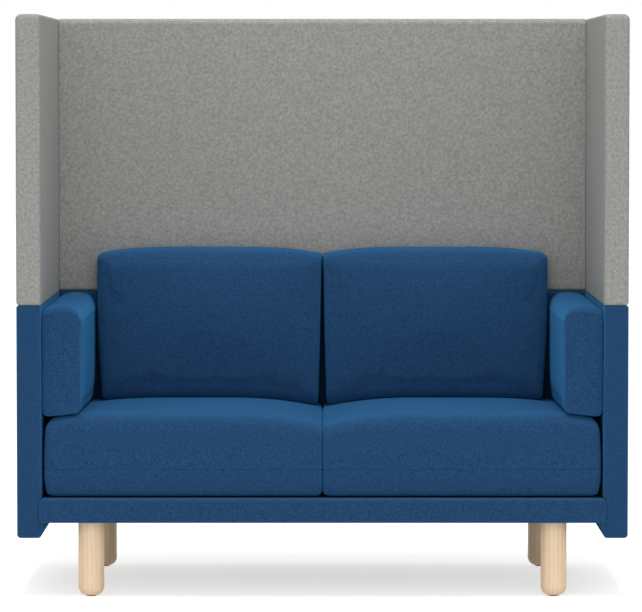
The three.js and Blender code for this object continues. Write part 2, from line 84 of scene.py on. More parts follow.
# Front rail
rail_top_edge = 9 * mm
rail_sink = 3.5 * mm
rail_foot_edge = 5 * mm
rail_end_edge = 4 * mm
rail_top_corner = 14 * mm
rail_foot_corner = 9 * mm
rail_segments = 6

# Legs and glides
leg_sides = 64
leg_fillet = 22 * mm
leg_fillet_segments = 14
leg_top_chamfer = 1.5 * mm
leg_chamfer_segments = 2
glide_sides = 40
glide_thickness = 1.5 * mm
glide_taper = 0.75
glide_pin_radius = 1.6 * mm

# All cushions. Near what a cushion touches, its cover stays put up to a held distance and puffs up
# in full from a free distance on. A distance below zero lies under the thing it touches.
cushion_edge_segments = 5
cover_steps = 5
cover_pressure = 4
settle_frames = 20

# Seat cushions
seat_crown = 7 * mm
seat_outer_drop = 10 * mm
seat_centre_dip = 24 * mm
seat_centre_dip_width = 220 * mm
seat_front_shoulder = -4 * mm
seat_rear_shoulder = 12 * mm
seat_shoulder_width = 170 * mm
seat_settle = 3 * mm
seat_seam_height = 315.3 * mm
seat_foot_draw = 7 * mm
seat_top_draw = 6 * mm
seat_edges = {
    "front_top": 30 * mm,
    "outer_top": 28 * mm,
    "outer_upright": 14 * mm,
    "split": 6 * mm,
    "foot": 9 * mm,
}
seat_split_reach = 1.4 * mm
seat_voxel = 8 * mm
seat_puff = 4 * mm
seat_held = {"foot": 2 * mm, "split": 10 * mm, "arm": -10 * mm}
seat_free = {"foot": 40 * mm, "split": 120 * mm, "arm": 50 * mm, "back": 60 * mm}
seat_top_band = 30 * mm

# Back cushions
back_crown = 18 * mm
back_belly = 18 * mm
back_outer_draw = 14 * mm
back_split_draw = 8 * mm
back_split_setback = 2.6 * mm
back_split_press = 1.5 * mm
back_top_depth = 130 * mm
back_foot_setback = 6 * mm
back_edges = {
    "top_front": 26 * mm,
    "top_rear": 14 * mm,
    "outer_front": 32 * mm,
    "outer": 10 * mm,
    "split_front": 6 * mm,
    "split": 4 * mm,
    "foot": 22 * mm,
    "foot_end": 6 * mm,
}
back_voxel = 7 * mm
back_puff = 5 * mm
back_held = {"rear": 5 * mm}
back_free = {"foot": 60 * mm, "split": 60 * mm, "rear": 60 * mm}
back_sag_height = 60 * mm

# Arm cushions
arm_crown = 11 * mm
arm_belly = 3 * mm
arm_rear_draw = 5 * mm
arm_fullness = 2.5 * mm
arm_outer_drop = 7 * mm
arm_front_cut = 7 * mm
arm_edges = {
    "end_top": 30 * mm,
    "end_inner": 14 * mm,
    "end_outer": 8 * mm,
    "end_foot": 10.5 * mm,
    "inner_top": 24 * mm,
    "outer_top": 12 * mm,
    "inner_foot": 12 * mm,
    "outer_foot": 18 * mm,
}
arm_seam_setback = 2.2 * mm
arm_voxel = 4 * mm
arm_puff = 3 * mm
arm_held = {"panel": 5 * mm}
arm_free = {"foot": 40 * mm, "panel": 40 * mm}

# Sewing
seam_depth = 1.8 * mm
seam_half_width = 2.5 * mm
seam_line = 0.02 * mm

# Camera, where the photograph was taken from
camera_aside = -3.6 * mm
camera_distance = 10547 * mm
camera_height = 1255.3 * mm
camera_dip = 3.03
camera_lens = 233.3
camera_sensor = 36

# Floor
floor_size = 60

# Places on the sofa that several pieces share, from the frame
seam_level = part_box("left_side_cover")[1].z
panel_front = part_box("left_side_cover")[0].y
panel_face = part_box("right_side_cover")[0].x
split_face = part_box("right_seat_cushion")[0].x
arm_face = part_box("right_arm_cushion")[0].x
seat_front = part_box("right_seat_cushion")[0].y
back_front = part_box("right_back_cushion")[0].y + back_belly

# From here forward, the seat's foot and top draw back from its seam.
seat_draw_start = back_front / 2


# Modelling with Blender's own tools
def pick_only(piece):
    bpy.ops.object.select_all(action="DESELECT")
    piece.select_set(True)
    bpy.context.view_layer.objects.active = piece


def block(name, low, high):
    bpy.ops.object.select_all(action="DESELECT")
    bpy.ops.mesh.primitive_cube_add(size=1, location=(low + high) / 2)
    piece = bpy.context.active_object
    piece.name = name
    piece.data.name = name
    piece.scale = high - low
    bpy.ops.object.transform_apply()
    return piece


def bar(name, low, high, axis, sides=bore_sides):
    """A round bar along x or z that fills the box between two corners."""
    turn, across = {"x": ((0, math.pi / 2, 0), "z"), "z": ((0, 0, 0), "x")}[axis]
    radius = getattr(high - low, across) / 2
    length = getattr(high - low, axis)
    bpy.ops.object.select_all(action="DESELECT")
    bpy.ops.mesh.primitive_cylinder_add(
        vertices=sides, radius=radius, depth=length, location=(low + high) / 2, rotation=turn
    )
    piece = bpy.context.active_object
    piece.name = name
    bpy.ops.object.transform_apply()
    return piece


def apply_modifier(piece, kind, **settings):
    modifier = piece.modifiers.new(kind.lower(), kind)
    for name, value in settings.items():
        setattr(modifier, name, value)
    pick_only(piece)
    bpy.ops.object.modifier_apply(modifier=modifier.name)
    return piece


def carve(piece, *tools):
    for tool in tools:
        apply_modifier(piece, "BOOLEAN", operation="DIFFERENCE", solver="EXACT", object=tool)
        bpy.data.objects.remove(tool)


def grown(node):
    low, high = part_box(node)
    reach = Vector((fit_gap, fit_gap, fit_gap))
    return low - reach, high + reach


def runs_along(direction, axis):
    return abs(getattr(direction, axis)) > mostly


def round_edges(piece, radius_of, segments):
    """Rounds each edge by the radius that radius_of gives for its middle and its direction."""
    mesh = piece.data
    radii = []
    for edge in mesh.edges:
        start, end = (mesh.vertices[i].co for i in edge.vertices)
        radii.append(radius_of((start + end) / 2, (end - start).normalized()))
    widest = max(radii)
    weights = mesh.attributes.new("bevel_weight_edge", "FLOAT", "EDGE")
    weights.data.foreach_set("value", [radius / widest for radius in radii])
    apply_modifier(piece, "BEVEL", limit_method="WEIGHT", width=widest, segments=segments)


def smooth_faces(piece):
    """Shades a piece smooth, with its large flat faces kept flat."""
    pick_only(piece)
    bpy.ops.object.shade_smooth()
    apply_modifier(piece, "WEIGHTED_NORMAL", keep_sharp=True, weight=flat_face_weight)


def dress(piece, slot, body, *replaced):
    piece.data.materials.clear()
    piece.data.materials.append(materials[slot])
    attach(piece, body)
    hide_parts(*replaced)


# Materials
# A wave texture of scale 1 repeats every 0.314 m.
wave_period = 0.314


def linear(hex_colour):
    """An sRGB hex colour as linear red, green, blue and alpha."""
    shares = [int(hex_colour[i : i + 2], 16) / 255 for i in (1, 3, 5)]
    return (*[s / 12.92 if s <= 0.04045 else ((s + 0.055) / 1.055) ** 2.4 for s in shares], 1)


def add_node(tree, kind, inputs=None, links=None, **settings):
    node = tree.nodes.new(kind)
    for name, value in settings.items():
        setattr(node, name, value)
    for name, value in (inputs or {}).items():
        node.inputs[name].default_value = value
    for name, socket in (links or {}).items():
        tree.links.new(socket, node.inputs[name])
    return node


def new_tree(name):
    material = bpy.data.materials.new(name)
    material.use_nodes = True
    material.node_tree.nodes.clear()
    return material, material.node_tree


def two_tones(tree, pattern, first, second, start=0, end=1):
    """A colour that goes from the first to the second as a pattern goes from start to end."""
    along = add_node(
        tree,
        "ShaderNodeMapRange",
        inputs={"From Min": start, "From Max": end},
        links={"Value": pattern},
    )
    # A Mix node keeps its colours in sockets 6 and 7, and their blend in output 2.
    blend = add_node(
        tree,
        "ShaderNodeMix",
        data_type="RGBA",
        inputs={6: linear(first), 7: linear(second)},
        links={0: along.outputs[0]},
    )
    return blend.outputs[2]


def woven_wool():
    # Piece-dyed wool cloth, plain weave: mid blue yarns in slightly lighter and darker shades, with
    # a soft nap that catches light at a glancing angle.
    material, tree = new_tree("woven_wool_cloth")
    # Yarns lie 1.6 mm apart, a little coarser than the real 1.2 mm, so that they just show.
    yarn_spacing = 1.6 * mm
    wander_length = 9 * mm
    wander = 0.9 * mm
    shade_patch = 4 * mm
    weave_share = 0.5
    weave_depth = 0.3 * mm
    place = add_node(tree, "ShaderNodeTexCoord").outputs["Object"]
    wobble = add_node(
        tree,
        "ShaderNodeTexNoise",
        inputs={"Scale": 1 / wander_length, "Detail": 1},
        links={"Vector": place},
    )
    drift = add_node(
        tree,
        "ShaderNodeVectorMath",
        operation="MULTIPLY_ADD",
        inputs={1: (wander, wander, wander)},
        links={0: wobble.outputs["Color"], 2: place},
    )
    turns = add_node(
        tree,
        "ShaderNodeVectorMath",
        operation="SCALE",
        inputs={"Scale": math.pi / yarn_spacing},
        links={0: drift.outputs[0]},
    )
    waves = add_node(
        tree, "ShaderNodeVectorMath", operation="SINE", links={0: turns.outputs[0]}
    ).outputs[0]
    split = add_node(tree, "ShaderNodeSeparateXYZ", links={0: waves})
    turned = add_node(
        tree,
        "ShaderNodeCombineXYZ",
        links={"X": split.outputs["Y"], "Y": split.outputs["Z"], "Z": split.outputs["X"]},
    )
    weave = add_node(
        tree,
        "ShaderNodeVectorMath",
        operation="DOT_PRODUCT",
        links={0: waves, 1: turned.outputs[0]},
    ).outputs["Value"]
    yarn = add_node(
        tree,
        "ShaderNodeTexNoise",
        inputs={"Scale": 1 / shade_patch, "Detail": 3, "Roughness": 0.65},
        links={"Vector": place},
    ).outputs["Fac"]
    colour = two_tones(tree, yarn, "#152e4f", "#2c4a70", start=0.3, end=0.7)
    height = add_node(
        tree,
        "ShaderNodeMath",
        operation="MULTIPLY_ADD",
        inputs={1: weave_share},
        links={0: weave, 2: yarn},
    ).outputs[0]
    bump = add_node(
        tree,
        "ShaderNodeBump",
        inputs={"Strength": 0.5, "Distance": weave_depth},
        links={"Height": height},
    ).outputs[0]
    shader = add_node(
        tree,
        "ShaderNodeBsdfPrincipled",
        inputs={
            "Roughness": 0.92,
            "Specular IOR Level": 0.05,
            "Sheen Weight": 0.4,
            "Sheen Roughness": 0.7,
            "Sheen Tint": linear("#50b6ff"),
        },
        links={"Base Color": colour, "Normal": bump},
    )
    add_node(tree, "ShaderNodeOutputMaterial", links={"Surface": shader.outputs[0]})
    return material


def wool_felt():
    # Grey melange wool felt, needled and pressed: pale and dark fibres in soft clouds, no weave.
    material, tree = new_tree("melange_wool_felt")
    # Fibre tufts of 2.6 mm are coarser than the real fibres, so that they show.
    tuft_size = 2.6 * mm
    tuft_depth = 0.5 * mm
    cloud_size = 8 * mm
    cloud_share = 0.9
    swell_size = 90 * mm
    swell_depth = 2 * mm
    place = add_node(tree, "ShaderNodeTexCoord").outputs["Object"]
    cloud = add_node(
        tree,
        "ShaderNodeTexNoise",
        inputs={"Scale": 1 / cloud_size, "Detail": 3, "Roughness": 0.6},
        links={"Vector": place},
    ).outputs["Fac"]
    fibre = add_node(
        tree,
        "ShaderNodeTexNoise",
        inputs={"Scale": 1 / tuft_size, "Detail": 3, "Roughness": 0.7},
        links={"Vector": place},
    ).outputs["Fac"]
    shade = add_node(
        tree,
        "ShaderNodeMath",
        operation="MULTIPLY_ADD",
        inputs={1: cloud_share},
        links={0: cloud, 2: fibre},
    ).outputs[0]
    colour = two_tones(tree, shade, "#81817e", "#aeaea9", start=0.65, end=1.25)
    broad = add_node(
        tree,
        "ShaderNodeTexNoise",
        inputs={"Scale": 1 / swell_size, "Detail": 1},
        links={"Vector": place},
    ).outputs["Fac"]
    soft = add_node(
        tree,
        "ShaderNodeBump",
        inputs={"Strength": 0.5, "Distance": swell_depth},
        links={"Height": broad},
    ).outputs[0]
    bump = add_node(
        tree,
        "ShaderNodeBump",
        inputs={"Strength": 0.6, "Distance": tuft_depth},
        links={"Height": fibre, "Normal": soft},
    ).outputs[0]
    shader = add_node(
        tree,
        "ShaderNodeBsdfPrincipled",
        inputs={
            "Roughness": 0.96,
            "Specular IOR Level": 0.15,
            "Sheen Weight": 0.05,
            "Sheen Roughness": 0.6,
        },
        links={"Base Color": colour, "Normal": bump},
    )
    add_node(tree, "ShaderNodeOutputMaterial", links={"Surface": shader.outputs[0]})
    return material


def grained_wood(name, pale, dark, ring, stretch, roughness, coat=0.0):
    """Wood with its grain along Z: rings cut by the surface, fine pores and long soft streaks."""
    material, tree = new_tree(name)
    pore_size = 0.9 * mm
    pore_depth = 0.15 * mm
    pore_share = 0.35
    streak_size = 7 * mm
    ring_share = 0.45
    place = add_node(tree, "ShaderNodeTexCoord").outputs["Object"]
    along = add_node(
        tree,
        "ShaderNodeMapping",
        inputs={"Scale": (1, 1, 1 / stretch)},
        links={"Vector": place},
    ).outputs[0]
    rings = add_node(
        tree,
        "ShaderNodeTexWave",
        wave_type="BANDS",
        bands_direction="X",
        wave_profile="SIN",
        inputs={
            "Scale": wave_period / ring,
            "Distortion": 3,
            "Detail": 2,
            "Detail Scale": 0.6,
            "Detail Roughness": 0.6,
        },
        links={"Vector": along},
    ).outputs["Fac"]
    pores = add_node(
        tree,
        "ShaderNodeTexNoise",
        inputs={"Scale": 1 / pore_size, "Detail": 3, "Roughness": 0.7},
        links={"Vector": along},
    ).outputs["Fac"]
    streaks = add_node(
        tree,
        "ShaderNodeTexNoise",
        inputs={"Scale": 1 / streak_size, "Detail": 3},
        links={"Vector": along},
    ).outputs["Fac"]
    ringed = add_node(
        tree,
        "ShaderNodeMath",
        operation="MULTIPLY_ADD",
        inputs={1: ring_share},
        links={0: rings, 2: streaks},
    ).outputs[0]
    grain = add_node(
        tree,
        "ShaderNodeMath",
        operation="MULTIPLY_ADD",
        inputs={1: pore_share},
        links={0: pores, 2: ringed},
    ).outputs[0]
    colour = two_tones(tree, grain, pale, dark, start=0.5, end=1.25)
    bump = add_node(
        tree,
        "ShaderNodeBump",
        inputs={"Strength": 0.25, "Distance": pore_depth},
        links={"Height": pores},
    ).outputs[0]
    shader = add_node(
        tree,
        "ShaderNodeBsdfPrincipled",
        inputs={
            "Roughness": roughness,
            "IOR": 1.5,
            "Coat Weight": coat,
            "Coat Roughness": 0.4,
        },
        links={"Base Color": colour, "Normal": bump},
    )
    add_node(tree, "ShaderNodeOutputMaterial", links={"Surface": shader.outputs[0]})
    return material


def plywood():
    # Birch plywood seen mostly on its cut edges: pale and brown plies 1.5 mm thick in turn.
    material, tree = new_tree("birch_plywood")
    ply_thickness = 1.5 * mm
    fibre_size = 2 * mm
    place = add_node(tree, "ShaderNodeTexCoord").outputs["Object"]
    plies = add_node(
        tree,
        "ShaderNodeTexWave",
        wave_type="BANDS",
        bands_direction="DIAGONAL",
        inputs={"Scale": wave_period / (2 * ply_thickness), "Distortion": 0.4, "Detail": 1},
        links={"Vector": place},
    ).outputs["Fac"]
    fibre = add_node(
        tree,
        "ShaderNodeTexNoise",
        inputs={"Scale": 1 / fibre_size, "Detail": 4, "Roughness": 0.7},
        links={"Vector": place},
    ).outputs["Fac"]
    layered = add_node(
        tree, "ShaderNodeMath", operation="MULTIPLY", links={0: plies, 1: fibre}
    ).outputs[0]
    colour = two_tones(tree, layered, "#d9bd8d", "#a9824f")
    shader = add_node(
        tree,
        "ShaderNodeBsdfPrincipled",
        inputs={"Roughness": 0.7, "IOR": 1.5},
        links={"Base Color": colour},
    )
    add_node(tree, "ShaderNodeOutputMaterial", links={"Surface": shader.outputs[0]})
    return material


def speckled(name, pale, dark, size, roughness, metallic=0.0, specular=0.5):
    """A finish with one fine random texture, such as pressed felt, zinc or moulded plastic."""
    material, tree = new_tree(name)
    speckle_depth = 0.1 * mm
    place = add_node(tree, "ShaderNodeTexCoord").outputs["Object"]
    grain = add_node(
        tree,
        "ShaderNodeTexNoise",
        inputs={"Scale": 1 / size, "Detail": 3, "Roughness": 0.65},
        links={"Vector": place},
    ).outputs["Fac"]
    colour = two_tones(tree, grain, dark, pale)
    bump = add_node(
        tree,
        "ShaderNodeBump",
        inputs={"Strength": 0.5, "Distance": speckle_depth},
        links={"Height": grain},
    ).outputs[0]
    shader = add_node(
        tree,
        "ShaderNodeBsdfPrincipled",
        inputs={"Roughness": roughness, "Metallic": metallic, "Specular IOR Level": specular},
        links={"Base Color": colour, "Normal": bump},
    )
    add_node(tree, "ShaderNodeOutputMaterial", links={"Surface": shader.outputs[0]})
    return material


materials = {
    "blue_wool": woven_wool(),
    "grey_felt": wool_felt(),
    # Ash, turned and matt lacquered: pale cream, with faint streaks along it and a soft shine.
    "ash": grained_wood(
        "lacquered_ash", "#f9dfbe", "#f3cfa5", ring=11 * mm, stretch=10, roughness=0.45, coat=0.15
    ),
    "plywood": plywood(),
    # Pine, planed and left bare: yellow, with broad darker bands along the grain.
    "softwood": grained_wood(
        "planed_pine", "#e2c08c", "#bd8f56", ring=7 * mm, stretch=12, roughness=0.7
    ),
    # Beech, fluted and bare: reddish brown with a fine even grain.
    "beech_dowel": grained_wood(
        "fluted_beech", "#cfa274", "#b58556", ring=3 * mm, stretch=8, roughness=0.6
    ),
    # Steel, zinc plated: cool grey and satin, in slightly paler and darker spots.
    "steel": speckled(
        "zinc_plated_steel", "#b4b7bb", "#8f9397", size=3 * mm, roughness=0.35, metallic=1.0
    ),
    # Elastic webbing, woven of rubber and black yarn: dull, nearly black.
    "webbing": speckled(
        "elastic_webbing", "#2b2926", "#171615", size=1.5 * mm, roughness=0.85, specular=0.1
    ),
    # Felt, pressed and black, darkened further as painted shade so the deck reads as a dark gap.
    "deck_felt": speckled(
        "black_felt_and_painted_shade", "#15171b", "#0f1013", size=2.5 * mm, roughness=0.95, specular=0.05
    ),
    # Non-woven polypropylene cloth, bonded: flat warm grey without a weave.
    "dust_cloth": speckled(
        "non_woven_cloth", "#807c74", "#6b675f", size=2 * mm, roughness=0.95, specular=0.1
    ),
    # Polyethylene, moulded: brownish grey with a dull, slightly uneven skin.
    "glide_plastic": speckled(
        "moulded_polyethylene", "#5c5853", "#4b4743", size=1 * mm, roughness=0.5
    ),
}
for part in frame["record"]["subparts"]:
    mesh = nodes[part["node"]].data
    mesh.materials.clear()
    mesh.materials.append(materials[part["material_slot"]])


# Camera
def add_camera():
    camera = bpy.data.objects.new("camera", bpy.data.cameras.new("camera"))
    bpy.context.scene.collection.objects.link(camera)
    camera.location = (camera_aside, -camera_distance, camera_height)
    camera.rotation_euler = (math.radians(90 - camera_dip), 0, 0)
    camera.data.lens = camera_lens
    camera.data.sensor_width = camera_sensor
    bpy.context.scene.camera = camera


add_camera()


# Padded panels, each open at the foot for its core
def back_panel_radius(middle, direction, edges, low, high):
    upper = middle.z > (low.z + high.z) / 2
    if runs_along(direction, "z"):
        return back_end_upright
    if runs_along(direction, "y"):
        along_seam = abs(middle.z - seam_level) < same_place
        return back_end_top if upper and not along_seam else back_end_seam
    return edges["top"] if upper else edges["foot"]


def side_panel_radius(middle, direction, edges, low, high):
    upper = middle.z > (low.z + high.z) / 2
    inner = abs(middle.x) < abs((low.x + high.x) / 2)
    if runs_along(direction, "z"):
        return edges["inner_upright" if inner else "upright"]
    if inner and runs_along(direction, "y") and abs(middle.z - seam_level) < same_place:
        return inner_seam_edge
    if inner and runs_along(direction, "y") and upper:
        return edges["inner_top"]
    return edges["top"] if upper else edges["foot"]


def panel(name, edge_radius, edges, slot, *fittings):
    low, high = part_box(f"{name}_cover")
    piece = block(f"{name}_upholstery", low, high)

    def radius(middle, direction):
        return edge_radius(middle, direction, edges, low, high)

    round_edges(piece, radius, panel_edge_segments)
    core_low, core_high = grown(f"{name}_core")
    core_low.z = low.z - cut_overrun
    carve(piece, block("pocket", core_low, core_high), *fittings)
    smooth_faces(piece)
    dress(piece, slot, "carcass", f"{name}_cover")


def plate_slot(node):
    return block("plate_slot", *grown(node))


def bore(node, axis):
    return bar("bore", *grown(node), axis)


for side in ("left", "right"):
    bolts = [bore(f"{side}_{end}_frame_bolt", "x") for end in ("front", "rear")]
    lower = [plate_slot(f"{side}_join_plate"), bore(f"{side}_lower_dowel", "x"), *bolts]
    panel(f"{side}_side", side_panel_radius, side_edges, "blue_wool", *lower)
    upper = [plate_slot(f"{side}_join_plate"), bore(f"{side}_upper_dowel", "x")]
    panel(f"{side}_screen", side_panel_radius, screen_edges, "grey_felt", *upper)
for name, edges, slot, level in (
    ("lower_back", side_edges, "blue_wool", "lower"),
    ("back_screen", screen_edges, "grey_felt", "upper"),
):
    dowels = [bore(f"{side}_{level}_dowel", "x") for side in ("left", "right")]
    panel(name, back_panel_radius, edges, slot, plate_slot("back_join_plate"), *dowels)


# Front rail: a padded cover round the front beam, whose lip laps the side panels
def front_rail():
    low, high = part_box("front_rail_cover")
    high.z -= rail_sink
    piece = block("front_rail_upholstery", low, high)

    def radius(middle, direction):
        upper = middle.z > (low.z + high.z) / 2
        if runs_along(direction, "y"):
            return rail_top_corner if upper else rail_foot_corner
        if middle.y > (low.y + high.y) / 2:
            return fit_gap
        if runs_along(direction, "z"):
            return rail_end_edge
        return rail_top_edge if upper else rail_foot_edge

    round_edges(piece, radius, rail_segments)
    for end in (-1, 1):
        inner = end * (panel_face - fit_gap)
        outer = end * (high.x + cut_overrun)
        corner_low = Vector((min(inner, outer), panel_front - fit_gap, low.z - cut_overrun))
        corner_high = Vector((max(inner, outer), high.y + cut_overrun, high.z + cut_overrun))
        carve(piece, block("panel_space", corner_low, corner_high))
    beam_low, beam_high = grown("front_beam")
    beam_low.x = low.x - cut_overrun
    beam_high.x = high.x + cut_overrun
    carve(piece, block("beam_space", beam_low, beam_high))
    smooth_faces(piece)
    dress(piece, "blue_wool", "carcass", "front_rail_cover")


front_rail()


# Turned legs and their glides
def select_faces(piece, wanted):
    """Selects the faces that wanted accepts, and enters edit mode on them."""
    pick_only(piece)
    bpy.ops.object.mode_set(mode="EDIT")
    bpy.ops.mesh.select_mode(type="FACE")
    bpy.ops.mesh.select_all(action="DESELECT")
    shape = bmesh.from_edit_mesh(piece.data)
    for face in shape.faces:
        face.select_set(wanted(face))
    bmesh.update_edit_mesh(piece.data)


def bore_for_pin(name):
    low, high = grown(f"{name}_glide")
    foot = ((low + high) / 2).xy.to_3d()
    reach = Vector((glide_pin_radius + fit_gap, glide_pin_radius + fit_gap, 0))
    top = Vector((0, 0, high.z))
    return bar("pin_bore", foot - reach, foot + reach + top, "z")


def leg(name):
    low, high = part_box(name)
    piece = bar(f"{name}_turning", low, high, "z", leg_sides)
    for level, offset, segments in (
        (-1, leg_fillet, leg_fillet_segments),
        (1, leg_top_chamfer, leg_chamfer_segments),
    ):
        select_faces(piece, lambda face: face.normal.z * level > mostly)
        bpy.ops.mesh.bevel(offset=offset, segments=segments, affect="EDGES", clamp_overlap=False)
        bpy.ops.object.mode_set(mode="OBJECT")
    carve(piece, bore(f"{name}_bolt", "z"), bore_for_pin(name))
    pick_only(piece)
    bpy.ops.object.shade_smooth_by_angle(angle=smooth_angle)
    dress(piece, "ash", "carcass", name)


def glide(name):
    """A disc, straight at first and then tapered, with a pin on it that stands in the leg."""
    low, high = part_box(name)
    radius = (high.x - low.x) / 2
    disc_high = Vector((high.x, high.y, low.z + glide_thickness / 2))
    piece = bar(f"{name}_moulding", low, disc_high, "z", glide_sides)
    select_faces(piece, lambda face: face.normal.z > mostly)
    bpy.ops.mesh.extrude_region_move(
        TRANSFORM_OT_translate={"value": (0, 0, glide_thickness / 2)}
    )
    bpy.ops.transform.resize(
        value=(glide_taper, glide_taper, 1), center_override=(low + high) / 2
    )
    bpy.ops.mesh.inset(thickness=glide_taper * radius - glide_pin_radius)
    bpy.ops.mesh.extrude_region_move(
        TRANSFORM_OT_translate={"value": (0, 0, high.z - low.z - glide_thickness)}
    )
    bpy.ops.object.mode_set(mode="OBJECT")
    pick_only(piece)
    bpy.ops.object.shade_smooth_by_angle(angle=smooth_angle)
    dress(piece, "glide_plastic", "carcass", name)


for side in ("left", "right"):
    for end in ("front", "rear"):
        leg(f"{side}_{end}_leg")
        glide(f"{side}_{end}_leg_glide")


# Shapes of the cushions
def share(value, start, end):
    """How far a value has come from one place to another, from 0 to 1."""
    return min(max((value - start) / (end - start), 0), 1)


def rise(value, start, end):
    """From 0 to 1 between two places, slow at first."""
    return share(value, start, end) ** 2


def hill(value, start, end):
    """1 in the middle of two places, level and 0 at both."""
    return math.sin(math.pi * share(value, start, end)) ** 2


def arch(value, start, end):
    """1 in the middle of two places, 0 at both."""
    along = share(value, start, end)
    return 4 * along * (1 - along)


def crest(value, start, end):
    """1 over most of the way between two places, falling off to 0 near both."""
    return 1 - (2 * share(value, start, end) - 1) ** 4


def ease(value, start, end):
    """From 0 to 1 between two places, level at both."""
    along = share(value, start, end)
    return along * along * (3 - 2 * along)


def foam_block(name, low, high, radius_of, voxel):
    """A block with rounded edges, divided into even squares."""
    piece = block(name, low, high)
    round_edges(piece, radius_of, cushion_edge_segments)
    return apply_modifier(piece, "REMESH", mode="VOXEL", voxel_size=voxel, use_smooth_shade=True)


def reshape(piece, change):
    for vertex in piece.data.vertices:
        vertex.co = change(vertex.co.copy())
    piece.data.update()


def inflate(piece, limit, freedom):
    """Inflates a cover and lets each point follow by at most limit, times its freedom."""
    start = [(vertex.co.copy(), vertex.normal.copy()) for vertex in piece.data.vertices]
    cloth = piece.modifiers.new("cover", "CLOTH")
    cloth.settings.quality = cover_steps
    cloth.settings.use_pressure = True
    cloth.settings.uniform_pressure_force = cover_pressure
    cloth.settings.effector_weights.gravity = 0
    for frame_number in range(1, settle_frames + 1):
        bpy.context.scene.frame_set(frame_number)
    pick_only(piece)
    bpy.ops.object.modifier_apply(modifier=cloth.name)
    bpy.context.scene.frame_set(1)
    for vertex, (before, outward) in zip(piece.data.vertices, start):
        move = vertex.co - before
        sunk = min(move.dot(outward), 0)
        move -= outward * sunk
        reach = move.length
        if reach > limit:
            move *= limit / reach
        vertex.co = before + move * freedom(before)
    piece.data.update()


def hold_inside(piece, low, high):
    """Flattens a cushion against what it touches."""
    for vertex in piece.data.vertices:
        for axis in range(3):
            vertex.co[axis] = min(max(vertex.co[axis], low[axis]), high[axis])
    piece.data.update()


def sew(piece, point, normal):
    """Presses a seam into a piece along a plane: the middle of three loops sinks."""
    pick_only(piece)
    for offset in (-seam_half_width, seam_half_width, 0):
        bpy.ops.object.mode_set(mode="EDIT")
        bpy.ops.mesh.select_all(action="SELECT")
        bpy.ops.mesh.bisect(plane_co=point + normal * offset, plane_no=normal)
        bpy.ops.object.mode_set(mode="OBJECT")
    for vertex in piece.data.vertices:
        if abs((vertex.co - point).dot(normal)) < seam_line:
            outward = vertex.normal - normal * vertex.normal.dot(normal)
            vertex.co -= outward.normalized() * seam_depth


def shoulder_drop(y):
    """How far the seat's top has sunk beside the arm, at a place from front to rear."""
    rearward = share(y, seat_front, back_front)
    return seat_front_shoulder + (seat_rear_shoulder - seat_front_shoulder) * rearward


def seat_sink(x, y):
    """How far the seat's top has sunk at a place, in the middle and towards the arm."""
    dip = seat_centre_dip * rise(x, split_face + seat_centre_dip_width, split_face)
    return dip + shoulder_drop(y) * rise(x, arm_face - seat_shoulder_width, arm_face)


def seat_form():
    low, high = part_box("right_seat_cushion")
    low.x -= seat_split_reach
    top = high.z - seat_crown - seat_settle

    def radius(middle, direction):
        if middle.z < low.z + same_place:
            return seat_edges["foot"]
        if middle.x < low.x + same_place:
            return seat_edges["split"]
        if runs_along(direction, "x"):
            return seat_edges["front_top"]
        return seat_edges["outer_upright" if runs_along(direction, "z") else "outer_top"]

    piece = foam_block("right_seat", low, Vector((high.x, high.y, top)), radius, seat_voxel)

    def press(point):
        x, y, z = point
        upper = rise(z, low.z, top)
        crown = seat_crown * hill(x, low.x, arm_face) * hill(y, low.y, back_front)
        drop = seat_sink(x, y) + (seat_outer_drop - shoulder_drop(y)) * share(x, arm_face, high.x)
        draw = seat_foot_draw * rise(z, seat_seam_height, low.z)
        draw += seat_top_draw * rise(z, seat_seam_height, top)
        point.x -= draw * rise(x, arm_face, high.x)
        point.y += draw * rise(y, seat_draw_start, low.y)
        point.z += (crown - drop) * upper
        return point

    reshape(piece, press)

    def freedom(point):
        x, y, z = point
        above = ease(z, low.z + seat_held["foot"], low.z + seat_free["foot"])
        ahead = ease(y, back_front, back_front - seat_free["back"])
        beside = ease(x, low.x + seat_held["split"], low.x + seat_free["split"])
        if z <= top - seat_top_band:
            return above * ahead * beside
        inward = ease(x, arm_face - seat_held["arm"], arm_face - seat_free["arm"])
        return above * ahead * inward * beside

    inflate(piece, seat_puff, freedom)
    apply_modifier(piece, "SUBSURF", levels=1, render_levels=1)
    hold_inside(piece, low, Vector((high.x, high.y, high.z + seat_puff)))
    sew(piece, Vector((0, 0, seat_seam_height)), Vector((0, 0, 1)))
    return piece


